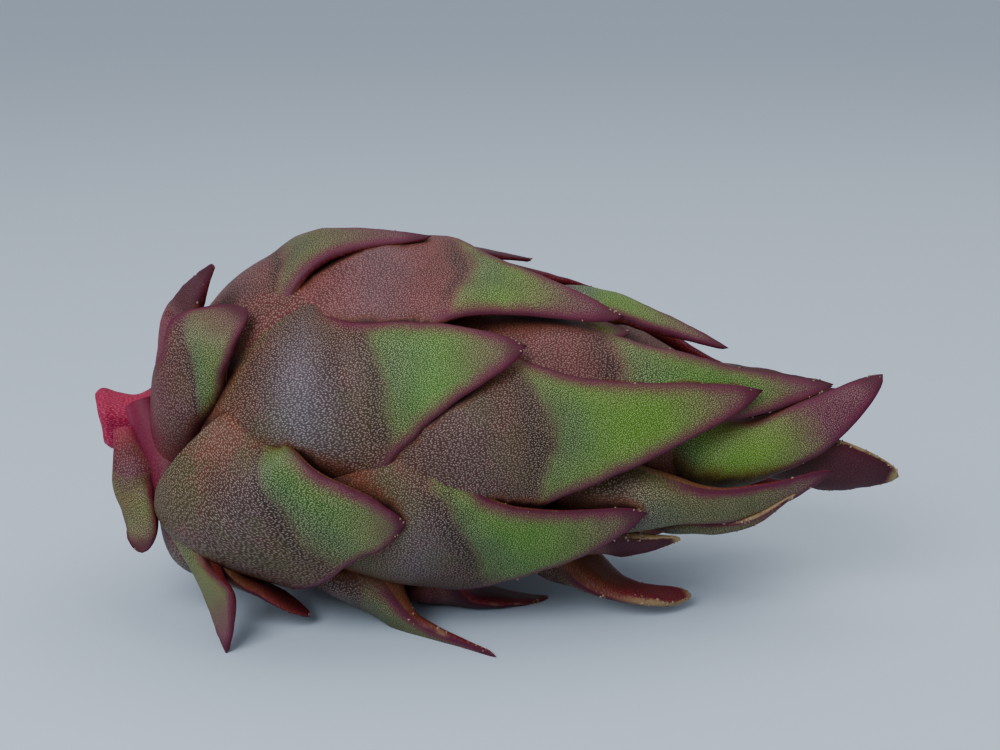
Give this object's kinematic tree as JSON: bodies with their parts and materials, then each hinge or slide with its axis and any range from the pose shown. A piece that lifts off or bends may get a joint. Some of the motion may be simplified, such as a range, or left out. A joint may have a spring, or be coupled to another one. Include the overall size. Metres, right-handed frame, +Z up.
{
  "type": "dragon fruit",
  "caption": "Whole dragon fruit lying on its side: an egg-shaped body under overlapping pointed leafy scales, with a short cut stem knob and small flats to rest on.",
  "frame": {"origin": "bottom centre of the box round the fruit as it lies on its side", "axes": "+X from the stem end to the leafy tip, +Z up; -Y is the side seen from the front"},
  "size_m": [0.1642, 0.0826, 0.0785],
  "materials": {
    "peel": "waxy leathery peel, grey-brown domes going to green leaves with purple margins, finely speckled"
  },
  "bodies": {
    "root": {"dragon_fruit": "peel"}
  },
  "joints": []
}
